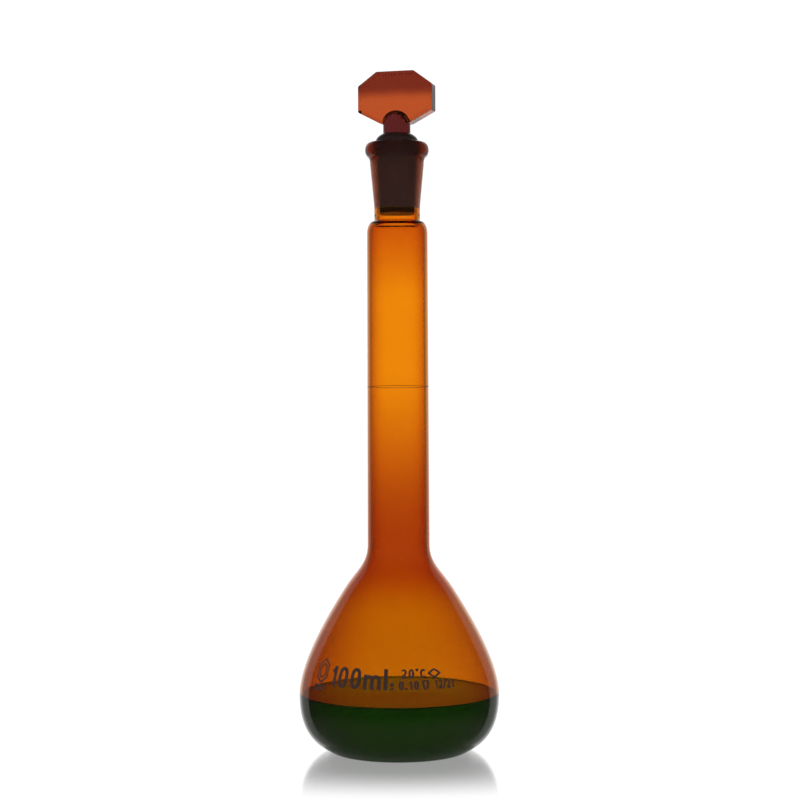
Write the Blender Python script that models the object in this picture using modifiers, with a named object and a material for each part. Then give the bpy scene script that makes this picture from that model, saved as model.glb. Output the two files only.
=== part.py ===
"""A 100 ml volumetric flask of amber glass, with its ground glass stopper and some test liquid.

Metres, +Z up. The origin is on the floor under the middle of the base. The flask is a body of
revolution around Z, and the front of the stopper's flat head looks roughly along -Y.
"""

import math

import bpy
import numpy as np
from mathutils import Vector
from mathutils.geometry import interpolate_bezier

# Bulb. Its outer side is three Bezier curves: floor to widest, widest to inflection and
# inflection to neck. A handle is the length from a curve's end to its control point.
BULB_RADIUS = 0.02915
BULB_WIDEST = 0.0162  # height of the widest circle
BULB_WALL = 0.0009
STANDING_RING = (0.0155, 0.0194)  # inner and outer radius of the flat ring that it stands on
BASE_DIMPLE = 0.0012  # how far the middle of the base is pushed up
BASE_LEAN = math.radians(31)  # rise of the wall where it leaves the floor
BASE_HANDLE = 0.0030
WIDEST_HANDLES = (0.0124, 0.0096)  # below and above
INFLECTION = (0.0160, 0.0469)  # radius and height where the shoulder turns into the neck
INFLECTION_LEAN = math.radians(32.6)  # from upright
INFLECTION_HANDLES = (0.0079, 0.0070)  # below and above
THROAT_HANDLE = 0.0060

# Neck, a tapered tube that closes to a waist in a round shoulder.
NECK_BOTTOM = 0.0602
NECK_TOP = 0.1507  # where the straight tube ends and the shoulder begins
NECK_RADIUS = (0.00905, 0.00886)  # at the bottom and at the top
NECK_WALL = 0.0013
SHOULDER_RISE = 0.0036
SHOULDER_FILLET = 0.0003
WAIST_RADIUS = 0.00666
WAIST_LENGTH = 0.0005
WAIST_TOP = NECK_TOP + SHOULDER_RISE + SHOULDER_FILLET + WAIST_LENGTH

# Graduation ring, a thin fired-on line.
RING_HEIGHT = 0.1060
RING_WIDTH = 0.0005
RING_THICKNESS = 0.0002
RING_GAP = 0.0001

# Ground joint 12/21: 12.5 mm across at the rim, tapering 1 in 10 over 21 mm.
RIM_HEIGHT = 0.1773
JOINT_RADIUS = 0.00625
JOINT_LENGTH = 0.0210
JOINT_TAPER = 1 / 20  # of the radius, along the axis
JOINT_GAP = 0.00015  # between the ground faces
BEAD_RADIUS = 0.00934
BEAD_SECTION = (0.00145, 0.0022)  # half width and half height
BEAD_UNDERCUT = -65  # degrees round the bead, where the flare of the cone begins
SOCKET_THROAT = (0.00784, 0.1705)  # outer radius and height where the cone flares to the bead
SOCKET_FOOT = (0.00673, 0.1588)  # outer radius and height where the cone meets the waist

# Stopper. Heights are from the rim of the socket.
PLUG_BOTTOM = -0.0207
PLUG_SHOULDER = 0.0005  # where the ground cone ends
COLLAR_TOP = 0.0026
COLLAR_HANDLE = 0.0009
STEM_RADIUS = 0.0040
DOME_HEIGHT = 0.0036
DOME_TOP = 0.0093
END_ROUND = 0.0004
HEAD_TURN = math.radians(-15)  # how far the head stands turned from square
HEAD_WIDTH = 0.0223
HEAD_THICKNESS = 0.0064
HEAD_EDGES = (0.0207, 0.0166, 0.0090, 0.0054)  # heights of its top, upper, lower and bottom corners
HEAD_FLATS = (0.0112, 0.0086)  # widths of its top and bottom edges
HEAD_CHAMFER = 0.0015
HEAD_SOFTEN = 0.0002

# Test liquid.
LIQUID_LEVEL = 0.0163
MENISCUS_RISE = 0.0009
MENISCUS_REACH = 0.0016

TOUCH_GAP = 0.0003  # between pieces that touch
SEGMENTS = 40  # around every turned piece
MERGE = 0.00001
SHARP = math.radians(35)


def clear_scene():
    for old in list(bpy.data.objects):
        bpy.data.objects.remove(old, do_unlink=True)


def collection(name):
    made = bpy.data.collections.new(name)
    bpy.context.scene.collection.children.link(made)
    return made


def glass(name, colour, roughness=0.03, metallic=0.0, transmission=1.0):
    """A Principled material. Every part has its own."""
    material = bpy.data.materials.new(name)
    material.use_nodes = True
    shader = material.node_tree.nodes["Principled BSDF"]
    shader.inputs["Base Color"].default_value = (*colour, 1.0)
    shader.inputs["Roughness"].default_value = roughness
    shader.inputs["Metallic"].default_value = metallic
    shader.inputs["IOR"].default_value = 1.47
    shader.inputs["Transmission Weight"].default_value = transmission
    material.diffuse_color = (*colour, 1.0)
    return material


def point(radius, height):
    return Vector((radius, 0.0, height))


def leaning(angle, length):
    """A step of this length, leaning towards the axis by angle from upright."""
    return point(-math.sin(angle) * length, math.cos(angle) * length)


def curve(start, start_handle, end_handle, end, steps):
    """The points of a cubic Bezier curve, both ends included."""
    return [v.to_3d() for v in interpolate_bezier(start, start_handle, end_handle, end, steps + 1)]


def arc(centre, radii, start, end, steps):
    """The points of an elliptical arc from start to end, in degrees, 0 outwards and 90 up."""
    angles = np.radians(np.linspace(start, end, steps + 1))
    return [
        centre + point(radii[0] * math.cos(a), radii[1] * math.sin(a)) for a in angles
    ]


def offset(outline, distance):
    """An outline that runs down its outer side, moved towards the inside of its shape."""
    points = np.array([(p.x, p.z) for p in outline])
    along = np.gradient(points, axis=0)
    along /= np.linalg.norm(along, axis=1)[:, None]
    inwards = np.stack([along[:, 1], -along[:, 0]], axis=1)
    inwards[-1] = (0.0, 1.0)  # straight up on the axis
    return [point(max(r, 0.0), z) for r, z in points + inwards * distance]


def joint_radius(height):
    """The socket's ground radius at a height from the rim."""
    return JOINT_RADIUS + height * JOINT_TAPER


def neck_radius(height):
    share = (height - NECK_BOTTOM) / (NECK_TOP - NECK_BOTTOM)
    return NECK_RADIUS[0] + share * (NECK_RADIUS[1] - NECK_RADIUS[0])


def profile_object(name, outline, closed):
    """An object whose mesh is a chain of edges through the outline."""
    mesh = bpy.data.meshes.new(name)
    edges = [(i, i + 1) for i in range(len(outline) - 1)]
    if closed:
        edges.append((len(outline) - 1, 0))
    mesh.from_pydata(outline, edges, [])
    return bpy.data.objects.new(name, mesh)


def bake(made):
    """Keeps an object's evaluated mesh in place of its modifiers, shaded smooth by angle."""
    bpy.context.view_layer.update()
    evaluated = made.evaluated_get(bpy.context.evaluated_depsgraph_get())
    mesh = bpy.data.meshes.new_from_object(evaluated)
    made.modifiers.clear()
    made.data = mesh
    mesh.shade_smooth()
    mesh.set_sharp_from_angle(angle=SHARP)


def turned(name, outline, home, material=None, closed=False, wall=None):
    """A body of revolution. An open outline with a wall becomes a shell, thickened inwards."""
    made = profile_object(name, outline, closed)
    home.objects.link(made)
    screw = made.modifiers.new("turn", "SCREW")
    screw.axis = "Z"
    screw.steps = SEGMENTS
    screw.render_steps = SEGMENTS
    screw.use_merge_vertices = True
    screw.merge_threshold = MERGE
    if wall:
        solidify = made.modifiers.new("wall", "SOLIDIFY")
        solidify.thickness = wall
        solidify.offset = -1.0
        solidify.use_even_offset = True
    bake(made)
    if material:
        made.data.materials.append(material)
    return made


def bulb_outline():
    """The bulb's outer side, from the neck down to the middle of the base."""
    inflection = point(*INFLECTION)
    widest = point(BULB_RADIUS, BULB_WIDEST)
    neck = point(NECK_RADIUS[0], NECK_BOTTOM)
    edge = point(STANDING_RING[1], 0.0)
    throat = curve(
        neck,
        neck - point(0, THROAT_HANDLE),
        inflection + leaning(INFLECTION_LEAN, INFLECTION_HANDLES[1]),
        inflection,
        steps=5,
    )
    shoulder = curve(
        inflection,
        inflection - leaning(INFLECTION_LEAN, INFLECTION_HANDLES[0]),
        widest + point(0, WIDEST_HANDLES[1]),
        widest,
        steps=7,
    )
    lift = point(math.cos(BASE_LEAN), math.sin(BASE_LEAN)) * BASE_HANDLE
    base = curve(widest, widest - point(0, WIDEST_HANDLES[0]), edge + lift, edge, steps=6)
    shares = np.linspace(0.0, 1.0, 4)
    dimple = [point(STANDING_RING[0] * (1 - s), BASE_DIMPLE * s * (2 - s)) for s in shares]
    return throat + shoulder[1:] + base[1:] + dimple


def make_bulb(home):
    return turned(
        "bulb", bulb_outline(), home, glass("bulb_glass", (0.60, 0.22, 0.02)), wall=BULB_WALL
    )


def make_neck_tube(home):
    """The neck: from the waist over the round shoulder and down the tapered tube."""
    shoulder_centre = point(WAIST_RADIUS + SHOULDER_FILLET, NECK_TOP)
    reach = NECK_RADIUS[1] - shoulder_centre.x
    fillet_centre = shoulder_centre + point(0, SHOULDER_RISE + SHOULDER_FILLET)
    fillet = arc(fillet_centre, (SHOULDER_FILLET, SHOULDER_FILLET), 180, 270, steps=2)
    shoulder = arc(shoulder_centre, (reach, SHOULDER_RISE), 90, 0, steps=6)
    top = point(WAIST_RADIUS, WAIST_TOP)
    bottom = point(NECK_RADIUS[0], NECK_BOTTOM + TOUCH_GAP)
    outline = [top] + fillet + shoulder[1:] + [bottom]
    return turned(
        "neck_tube", outline, home, glass("neck_glass", (0.75, 0.25, 0.02)), wall=NECK_WALL
    )


def make_socket_joint(home):
    """The ground socket: a rim bead, a cone that flares into it and a tapered ground bore."""
    foot = WAIST_TOP + TOUCH_GAP
    bead_centre = point(BEAD_RADIUS - BEAD_SECTION[0], RIM_HEIGHT - BEAD_SECTION[1])
    bead = arc(bead_centre, BEAD_SECTION, 90, BEAD_UNDERCUT, steps=8)
    throat = point(*SOCKET_THROAT)
    flare = curve(bead[-1], bead[-1].lerp(throat, 0.3), bead[-1].lerp(throat, 0.8), throat, steps=2)
    outer = bead + flare[1:] + [point(*SOCKET_FOOT), point(WAIST_RADIUS, foot)]
    inner = [
        point(WAIST_RADIUS - NECK_WALL, foot),
        point(joint_radius(-JOINT_LENGTH), RIM_HEIGHT - JOINT_LENGTH),
        point(joint_radius(0.0), RIM_HEIGHT),
    ]
    return turned(
        "socket_joint", outer + inner, home, glass("socket_glass", (0.32, 0.06, 0.02), 0.2), True
    )


def make_graduation_ring(home):
    inner = neck_radius(RING_HEIGHT) + RING_GAP
    outer = inner + RING_THICKNESS
    top = RING_HEIGHT + RING_WIDTH / 2
    bottom = RING_HEIGHT - RING_WIDTH / 2
    outline = [point(outer, top), point(outer, bottom), point(inner, bottom), point(inner, top)]
    enamel = glass("ring_enamel", (0.10, 0.03, 0.02), 0.5, transmission=0.0)
    return turned("graduation_ring", outline, home, enamel, closed=True)


def make_test_liquid(home):
    """The liquid: a level surface, a meniscus up the wall, and the inside shape of the bulb."""
    wall = offset(bulb_outline(), BULB_WALL + TOUCH_GAP)
    top = LIQUID_LEVEL + MENISCUS_RISE
    above = [p for p in wall if p.z > top][-1]
    below = [p for p in wall if p.z < top]
    contact = above.lerp(below[0], (above.z - top) / (above.z - below[0].z))
    start = point(contact.x - MENISCUS_REACH, LIQUID_LEVEL)
    corner = point(contact.x, LIQUID_LEVEL)
    meniscus = curve(start, start.lerp(corner, 0.6), contact.lerp(corner, 0.6), contact, steps=3)
    outline = [point(0, LIQUID_LEVEL)] + meniscus + below
    return turned(
        "test_liquid", outline, home, glass("liquid", (0.02, 0.08, 0.02), transmission=0.5)
    )


def plug_outline(swell=0.0):
    """The plug's outer side from the dome's top down to the bottom's middle, above the rim at 0.

    With swell it is the outline of a slightly larger stem, for cutting the pocket in the head.
    """
    stem = STEM_RADIUS + swell
    dome_centre = point(0, DOME_TOP - DOME_HEIGHT)
    dome = arc(dome_centre, (stem, DOME_HEIGHT + swell), 90, 0, steps=6)
    dome[0].x = 0.0
    cone_top = point(joint_radius(PLUG_SHOULDER) - JOINT_GAP, PLUG_SHOULDER)
    collar_bottom = point(stem, COLLAR_TOP)
    collar = curve(
        collar_bottom,
        collar_bottom + point(COLLAR_HANDLE, -COLLAR_HANDLE / 3),
        cone_top + point(0, COLLAR_HANDLE),
        cone_top,
        steps=5,
    )
    cone_bottom = point(joint_radius(PLUG_BOTTOM) - JOINT_GAP, PLUG_BOTTOM)
    end = [
        cone_bottom + point(0, END_ROUND),
        cone_bottom - point(END_ROUND, 0),
        point(0, PLUG_BOTTOM),
    ]
    return dome + collar + end


def make_stopper_plug(home, axis):
    plug = turned(
        "stopper_plug", plug_outline(), home, glass("plug_glass", (0.06, 0.02, 0.015), 0.3)
    )
    plug.parent = axis
    return plug


def head_outline():
    """The octagon's corners around the head, in its own plane."""
    top, upper, lower, bottom = HEAD_EDGES
    half = HEAD_WIDTH / 2
    right = [
        (HEAD_FLATS[1] / 2, bottom),
        (half, lower),
        (half, upper),
        (HEAD_FLATS[0] / 2, top),
    ]
    left = [(-x, z) for x, z in reversed(right)]
    return right + left


def flat_plate(name, corners, thickness, home):
    """A plate with this outline, upright in XZ, as a mesh with welded caps."""
    data = bpy.data.curves.new(name, "CURVE")
    data.dimensions = "2D"
    data.fill_mode = "BOTH"
    data.extrude = thickness / 2
    spline = data.splines.new("POLY")
    spline.points.add(len(corners) - 1)
    for spot, (x, y) in zip(spline.points, corners):
        spot.co = (x, y, 0, 1)
    spline.use_cyclic_u = True
    flat = bpy.data.objects.new(name, data)
    home.objects.link(flat)
    bpy.context.view_layer.update()
    mesh = bpy.data.meshes.new_from_object(flat.evaluated_get(bpy.context.evaluated_depsgraph_get()))
    bpy.data.objects.remove(flat)
    made = bpy.data.objects.new(name, mesh)
    home.objects.link(made)
    made.rotation_euler.x = math.radians(90)
    weld = made.modifiers.new("weld", "WELD")
    weld.merge_threshold = MERGE
    return made


def make_stopper_head(home, cutters, axis):
    """The flat eight-sided grip, chamfered on both faces, with a pocket for the stem's dome."""
    head = flat_plate("stopper_head", head_outline(), HEAD_THICKNESS, home)
    chamfer = head.modifiers.new("chamfer", "BEVEL")
    chamfer.width = HEAD_CHAMFER
    chamfer.segments = 1
    chamfer.limit_method = "ANGLE"
    chamfer.angle_limit = math.radians(75)
    soften = head.modifiers.new("soften", "BEVEL")
    soften.width = HEAD_SOFTEN
    soften.segments = 2
    soften.limit_method = "ANGLE"
    soften.angle_limit = math.radians(20)

    pocket = turned("stem_pocket", plug_outline(TOUCH_GAP), cutters)
    pocket.parent = axis
    pocket.hide_render = True
    pocket.display_type = "WIRE"

    head.parent = axis
    head.rotation_euler.z = HEAD_TURN
    cut = head.modifiers.new("pocket", "BOOLEAN")
    cut.operation = "DIFFERENCE"
    cut.object = pocket
    head.data.materials.append(glass("head_glass", (0.45, 0.11, 0.03), 0.05))
    head.data.shade_smooth()
    head.data.set_sharp_from_angle(angle=SHARP)
    return head


def make_stopper_axis(home):
    """The empty on the axis, level with the rim, that the stopper lifts from."""
    axis = bpy.data.objects.new("stopper_axis", None)
    axis.empty_display_size = JOINT_LENGTH
    axis.location = (0, 0, RIM_HEIGHT)
    home.objects.link(axis)
    return axis


def main():
    clear_scene()
    parts = collection("volumetric_flask")
    cutters = collection("cutters")
    make_bulb(parts)
    make_neck_tube(parts)
    make_socket_joint(parts)
    make_graduation_ring(parts)
    make_test_liquid(parts)
    axis = make_stopper_axis(parts)
    make_stopper_plug(parts, axis)
    make_stopper_head(parts, cutters, axis)


main()
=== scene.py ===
"""Looks of a 100 ml amber volumetric flask: blown glass, enamel marks, test liquid and stopper.

Metres, +Z up. The flask is turned around Z and its front looks along -Y. Every piece is a surface
worked out from an outline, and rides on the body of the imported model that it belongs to.
"""

import math

import bpy
import numpy as np
from bpy.props import FloatProperty, FloatVectorProperty, IntProperty, PointerProperty
from mathutils import Euler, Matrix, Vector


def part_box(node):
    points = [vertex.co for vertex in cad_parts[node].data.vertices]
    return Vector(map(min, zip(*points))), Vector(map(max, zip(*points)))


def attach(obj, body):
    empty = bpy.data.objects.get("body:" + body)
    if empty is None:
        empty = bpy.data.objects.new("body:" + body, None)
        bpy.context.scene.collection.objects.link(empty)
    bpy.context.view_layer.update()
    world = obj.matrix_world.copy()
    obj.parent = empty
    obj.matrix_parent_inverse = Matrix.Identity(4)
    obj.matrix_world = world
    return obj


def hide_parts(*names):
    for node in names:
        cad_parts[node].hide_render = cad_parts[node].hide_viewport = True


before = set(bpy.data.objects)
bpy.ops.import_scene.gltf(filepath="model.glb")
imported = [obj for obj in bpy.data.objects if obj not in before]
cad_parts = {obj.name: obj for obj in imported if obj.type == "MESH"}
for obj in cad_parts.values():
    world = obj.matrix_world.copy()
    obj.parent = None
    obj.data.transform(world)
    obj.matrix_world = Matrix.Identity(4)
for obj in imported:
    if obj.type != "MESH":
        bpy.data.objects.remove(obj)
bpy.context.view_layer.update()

bl_info = {
    "name": "Volumetric Flask",
    "version": (1, 0, 0),
    "blender": (4, 5, 0),
    "location": "View3D > Sidebar > Flask",
    "description": "Builds the glass, liquid, marks and stopper of a volumetric flask",
    "category": "Add Mesh",
}

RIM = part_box("socket_joint")[1].z

# Outline of the blown glass, as radius and height. A handle is the length from a curve's end to
# its control point, below and above it where there are two.
EDGE = (0.0200, 0.0)
EDGE_LEAN = math.radians(34)  # rise of the wall where it leaves the floor
EDGE_HANDLE = 0.0030
EDGE_SOFTENING = 0.00035
WIDEST = (0.02915, 0.0162)
WIDEST_HANDLES = (0.0126, 0.0096)
INFLECTION = (0.0160, 0.0469)
INFLECTION_LEAN = math.radians(32.6)  # from upright
INFLECTION_HANDLES = (0.0079, 0.0070)
THROAT = (0.00905, 0.0602)
THROAT_HANDLE = 0.0060
NECK_END = (0.00886, 0.1507)
SHOULDER = (0.00696, 0.0036)
WAIST = (0.00666, 0.1554)
SOCKET_FOOT = (0.00673, 0.1588)
SOCKET_THROAT = (0.00784, 0.1705)
BEAD = (0.00789, RIM - 0.0022)
BEAD_SECTION = (0.00145, 0.0022)
DIMPLE = (0.0155, 0.0012)

# Ground joint and stopper, with heights from the rim.
BORE = (0.00625, 0.0210, 1 / 20)  # radius at the rim, length, and change of radius per length
GROUND_START = (0.1578, 0.1584)  # heights between which the glass turns from clear to ground
PLUG_GAP = 0.00015
PLUG_BOTTOM = -0.0207
PLUG_SHOULDER = 0.0005
COLLAR_TOP = 0.0026
STEM = 0.0040
DOME = (0.0093, 0.0036)
GRIP_CORNERS = ((0.0043, 0.0054), (0.01115, 0.0090), (0.01115, 0.0166), (0.0056, 0.0207))
GRIP_TURN = math.radians(-15)

ENAMEL_FOOT = -0.00002  # how far the enamel reaches into the glass
FLOOR_HEIGHT = -0.00005
SHARP = math.radians(38)
GRIP_SHARP = math.radians(30)


# ---------------------------------------------------------------------------------- outlines


def bezier(start, start_handle, end_handle, end, steps=40):
    """Cubic Bezier: the sum of (1-t)^3, 3t(1-t)^2, 3t^2(1-t) and t^3 times its four points."""
    t = np.linspace(0.0, 1.0, steps + 1)[:, None]
    a, b, c, d = (np.asarray(p, float) for p in (start, start_handle, end_handle, end))
    return (1 - t) ** 3 * a + 3 * t * (1 - t) ** 2 * b + 3 * t**2 * (1 - t) * c + t**3 * d


def arc(centre, radii, start, end, steps=24):
    """Elliptical arc: centre plus radii times (cos a, sin a), a going from start to end degrees."""
    a = np.radians(np.linspace(start, end, steps + 1))[:, None]
    return np.asarray(centre, float) + np.hstack([radii[0] * np.cos(a), radii[1] * np.sin(a)])


def chain(*runs):
    """Runs of points one after the other, without repeated points."""
    points = np.vstack([np.atleast_2d(np.asarray(r, float)) for r in runs])
    steps = np.linalg.norm(np.diff(points, axis=0), axis=1)
    return points[np.concatenate([[True], steps > 1e-8])]


def lengths(points):
    """Distance along a chain of points, from its start."""
    steps = np.linalg.norm(np.diff(points, axis=0), axis=1)
    return np.concatenate([[0.0], np.cumsum(steps)])


def softened(points, reach, spacing=0.00004):
    """The chain at even spacing, its ends held and its corners rounded.

    Each point becomes an average of its neighbours with weights exp(-(distance / reach)^2 / 2).
    """
    along = lengths(points)
    even = np.linspace(0.0, along[-1], max(int(along[-1] / spacing), 8) + 1)
    dense = np.stack([np.interp(even, along, points[:, k]) for k in range(2)], axis=1)
    half = int(3 * reach / spacing)
    if half < 1:
        return dense
    bell = np.exp(-0.5 * (np.arange(-half, half + 1) * spacing / reach) ** 2)
    bell /= bell.sum()
    before = 2 * dense[0] - dense[half:0:-1]
    after = 2 * dense[-1] - dense[-2 : -half - 2 : -1]
    padded = np.vstack([before, dense, after])
    return np.stack([np.convolve(padded[:, k], bell, "valid") for k in range(2)], axis=1)


def thinned(points, count):
    """count + 1 points of the chain, spaced half by length and half by how much it turns."""
    along = lengths(points)
    heading = np.unwrap(np.arctan2(*np.gradient(points, axis=0).T[::-1]))
    turning = np.concatenate([[0.0], np.cumsum(np.abs(np.diff(heading)))])
    share = along / along[-1] + turning / max(turning[-1], 1e-9)
    wanted = np.interp(np.linspace(0.0, share[-1], count + 1), share, along)
    return np.stack([np.interp(wanted, along, points[:, k]) for k in range(2)], axis=1)


def left_normals(points):
    """Unit normals on the left of the way along the chain."""
    way = np.gradient(points, axis=0)
    way /= np.linalg.norm(way, axis=1)[:, None]
    return np.stack([-way[:, 1], way[:, 0]], axis=1)


def smooth_step(value, low, high):
    t = np.clip((value - low) / (high - low), 0.0, 1.0)
    return t * t * (3 - 2 * t)


def lower_outline():
    """The glass's outer side from the middle of the base up to the end of the neck's shoulder."""
    s = np.linspace(1.0, 0.0, 30)
    dimple = np.stack([DIMPLE[0] * (1 - s), DIMPLE[1] * s * (2 - s)], axis=1)
    lift = EDGE_HANDLE * np.array([math.cos(EDGE_LEAN), math.sin(EDGE_LEAN)])
    under = (WIDEST[0], WIDEST[1] - WIDEST_HANDLES[0])
    over = (WIDEST[0], WIDEST[1] + WIDEST_HANDLES[1])
    base = bezier(EDGE, EDGE + lift, under, WIDEST)
    rise = np.array([-math.sin(INFLECTION_LEAN), math.cos(INFLECTION_LEAN)])
    body = bezier(WIDEST, over, INFLECTION - INFLECTION_HANDLES[0] * rise, INFLECTION)
    throat = bezier(
        INFLECTION,
        INFLECTION + INFLECTION_HANDLES[1] * rise,
        (THROAT[0], THROAT[1] - THROAT_HANDLE),
        THROAT,
    )
    shoulder = arc((SHOULDER[0], NECK_END[1]), (NECK_END[0] - SHOULDER[0], SHOULDER[1]), 0, 90)
    fillet = SHOULDER[0] - WAIST[0]
    top = NECK_END[1] + SHOULDER[1] + fillet
    pinch = arc((SHOULDER[0], top), (fillet, fillet), 270, 180, 8)
    low = softened(chain(dimple, EDGE, base[1:]), EDGE_SOFTENING)
    return chain(low, body, throat, NECK_END, shoulder, pinch, (WAIST[0], WAIST[1] - 0.0003))


def socket_outline():
    """The socket's outer side from the waist up to the rim, with its flare and rounded bead."""
    bead = arc(BEAD, BEAD_SECTION, -65, 90, 30)
    flare = bezier(
        SOCKET_THROAT,
        np.array(SOCKET_THROAT) + (0.00012, 0.0012),
        bead[0] - (0.0007, 0.0007),
        bead[0],
    )
    return chain(WAIST, SOCKET_FOOT, flare, bead)


def wall_thickness(height, glass):
    """Thin in the bulb and thicker in the neck, blending where the bulb draws in."""
    share = smooth_step(height, INFLECTION[1] - 0.012, THROAT[1] + 0.004)
    return glass.bulb_wall + (glass.neck_wall - glass.bulb_wall) * share


def inner_outline(glass, proud=0.0):
    """The glass's inner side up to the waist: the outer side moved inwards by the wall.

    With proud it lies that much deeper in the glass, for the liquid that wets it.
    """
    outer = softened(lower_outline(), 0.0)
    wall = wall_thickness(outer[:, 1], glass) - proud
    inner = outer + left_normals(outer) * wall[:, None]
    inner[0, 0] = 0.0
    inner[:, 0] = np.maximum(inner[:, 0], 0.0)
    return inner


def bore_radius(height):
    """The ground bore's radius at a height from the rim."""
    return BORE[0] + height * BORE[2]


# ------------------------------------------------------------------------------------ meshes


def add_piece(name, points, faces, body, replaces=()):
    """A mesh object from points and lists of corner numbers, smooth, riding on its body."""
    mesh = bpy.data.meshes.new(name)
    mesh.from_pydata(points, [], faces)
    mesh.validate()
    mesh.shade_smooth()
    mesh.set_sharp_from_angle(angle=SHARP)
    piece = bpy.data.objects.new(name, mesh)
    bpy.context.scene.collection.objects.link(piece)
    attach(piece, body)
    if replaces:
        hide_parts(*replaces)
    return piece


def turned_surface(outline, segments):
    """A closed surface of revolution: radius times (cos a, sin a) for every angle a.

    The outline runs from axis to axis, with the outside on its right.
    """
    a = np.arange(segments) * 2 * np.pi / segments
    ring = np.stack([np.cos(a), np.sin(a)], axis=1)
    middle = outline[1:-1]
    rows = len(middle)
    grid = np.empty((rows, segments, 3))
    grid[..., :2] = middle[:, None, :1] * ring
    grid[..., 2] = middle[:, None, 1]
    poles = np.array([[0, 0, outline[0, 1]], [0, 0, outline[-1, 1]]])
    points = np.vstack([grid.reshape(-1, 3), poles])
    number = np.arange(rows * segments).reshape(rows, segments)
    beside = np.roll(number, -1, axis=1)
    quads = np.stack([number[:-1], beside[:-1], beside[1:], number[1:]], axis=-1).reshape(-1, 4)
    first = np.full(segments, rows * segments)
    start_fan = np.stack([first, beside[0], number[0]], axis=1)
    end_fan = np.stack([number[-1], beside[-1], first + 1], axis=1)
    return points, quads.tolist() + start_fan.tolist() + end_fan.tolist()


def looped_surface(grid, closed):
    """Faces over a grid of path steps by section points.

    Sections close on themselves; so does a closed path, and an open one gets end caps.
    """
    steps, around, _ = grid.shape
    number = np.arange(steps * around).reshape(steps, around)
    beside = np.roll(number, -1, axis=1)
    ahead = np.roll(number, -1, axis=0)
    corner = np.roll(ahead, -1, axis=1)
    quads = np.stack([number, beside, corner, ahead], axis=-1)
    faces = (quads if closed else quads[:-1]).reshape(-1, 4).tolist()
    if not closed:
        faces += [number[0, ::-1].tolist(), number[-1].tolist()]
    return grid.reshape(-1, 3), faces


def joined(parts):
    """Several (points, faces) pairs as one."""
    points, faces, count = [], [], 0
    for part_points, part_faces in parts:
        points.append(part_points)
        faces += [[count + k for k in face] for face in part_faces]
        count += len(part_points)
    return np.vstack(points), faces


# --------------------------------------------------------------------------------- materials


def shader_group(name, inputs, outputs):
    """An empty node group with these sockets, each (name, type, default)."""
    group = bpy.data.node_groups.new(name, "ShaderNodeTree")
    for label, kind, value in inputs:
        socket = group.interface.new_socket(label, in_out="INPUT", socket_type=kind)
        if value is not None:
            socket.default_value = value
    for label, kind in outputs:
        group.interface.new_socket(label, in_out="OUTPUT", socket_type=kind)
    return group


class Tree:
    """Short ways to add nodes to one node tree and link them."""

    def __init__(self, tree):
        self.tree = tree

    def add(self, kind, settings=None, **values):
        """A node. Settings are its own properties, values its inputs by name or as i0, i1, i2."""
        node = self.tree.nodes.new(kind)
        for key, value in (settings or {}).items():
            setattr(node, key, value)
        for key, value in values.items():
            self.put(node, int(key[1:]) if key.startswith("i") else key, value)
        return node

    def put(self, node, key, value):
        socket = node.inputs[key]
        if isinstance(value, bpy.types.NodeSocket):
            self.tree.links.new(value, socket)
        else:
            socket.default_value = value

    def maths(self, operation, a, b=0.0, c=0.0, clamp=False):
        node = self.add("ShaderNodeMath", {"operation": operation, "use_clamp": clamp}, i0=a, i1=b)
        if operation == "MULTIPLY_ADD":
            self.put(node, 2, c)
        return node.outputs[0]

    def chosen(self, share, a, b):
        """The number a, or b where share is 1."""
        return self.add("ShaderNodeMix", {"data_type": "FLOAT"}, i0=share, i2=a, i3=b).outputs[0]

    def mapped(self, value, low, high, to_low=0.0, to_high=1.0, kind="SMOOTHSTEP"):
        how = {"interpolation_type": kind}
        node = self.add(
            "ShaderNodeMapRange", how, i0=value, i1=low, i2=high, i3=to_low, i4=to_high
        )
        return node.outputs[0]

    def mixed(self, share, a, b, blend="MIX"):
        """Colours a and b mixed; a and b are colours or sockets."""
        how = {"data_type": "RGBA", "blend_type": blend, "clamp_factor": True}
        node = self.add("ShaderNodeMix", how)
        self.put(node, 0, share)
        self.put(node, 6, a)
        self.put(node, 7, b)
        return node.outputs[2]

    def noise(self, where, scale, detail=3.0, roughness=0.5):
        node = self.add(
            "ShaderNodeTexNoise", i0=where, Scale=scale, Detail=detail, Roughness=roughness
        )
        return node.outputs["Fac"]

    def place(self):
        return self.add("ShaderNodeTexCoord").outputs["Object"]

    def group(self, group, **values):
        node = self.add("ShaderNodeGroup", {"node_tree": group}, **values)
        return node.outputs


def colour(red, green, blue):
    return (red, green, blue, 1.0)


def draw_marks_group():
    """Faint marks of drawing and blowing: slow waves round the axis and fine cords along it."""
    group = bpy.data.node_groups.get("Blown glass marks")
    if group:
        return group
    group = shader_group(
        "Blown glass marks",
        [("Position", "NodeSocketVector", None), ("Waves", "NodeSocketFloat", 1.0)],
        [("Height", "NodeSocketFloat"), ("Tone", "NodeSocketFloat")],
    )
    t = Tree(group)
    given = t.add("NodeGroupInput")
    result = t.add("NodeGroupOutput")
    along = t.add("ShaderNodeMapping", Vector=given.outputs[0], Scale=(1, 1, 0.12))
    across = t.add("ShaderNodeMapping", Vector=given.outputs[0], Scale=(0.2, 0.2, 1))
    cords = t.noise(along.outputs[0], 420, 2, 0.5)
    waves = t.noise(across.outputs[0], 110, 2, 0.45)
    cloud = t.noise(given.outputs[0], 60, 3, 0.5)
    waved = t.maths("MULTIPLY", waves, given.outputs[1])
    height = t.maths("ADD", t.maths("MULTIPLY", cords, 0.35), waved)
    t.put(result, 0, height)
    tone = t.maths("ADD", t.maths("MULTIPLY", cloud, 0.6), t.maths("MULTIPLY", waves, 0.4))
    t.put(result, 1, tone)
    return group


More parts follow.
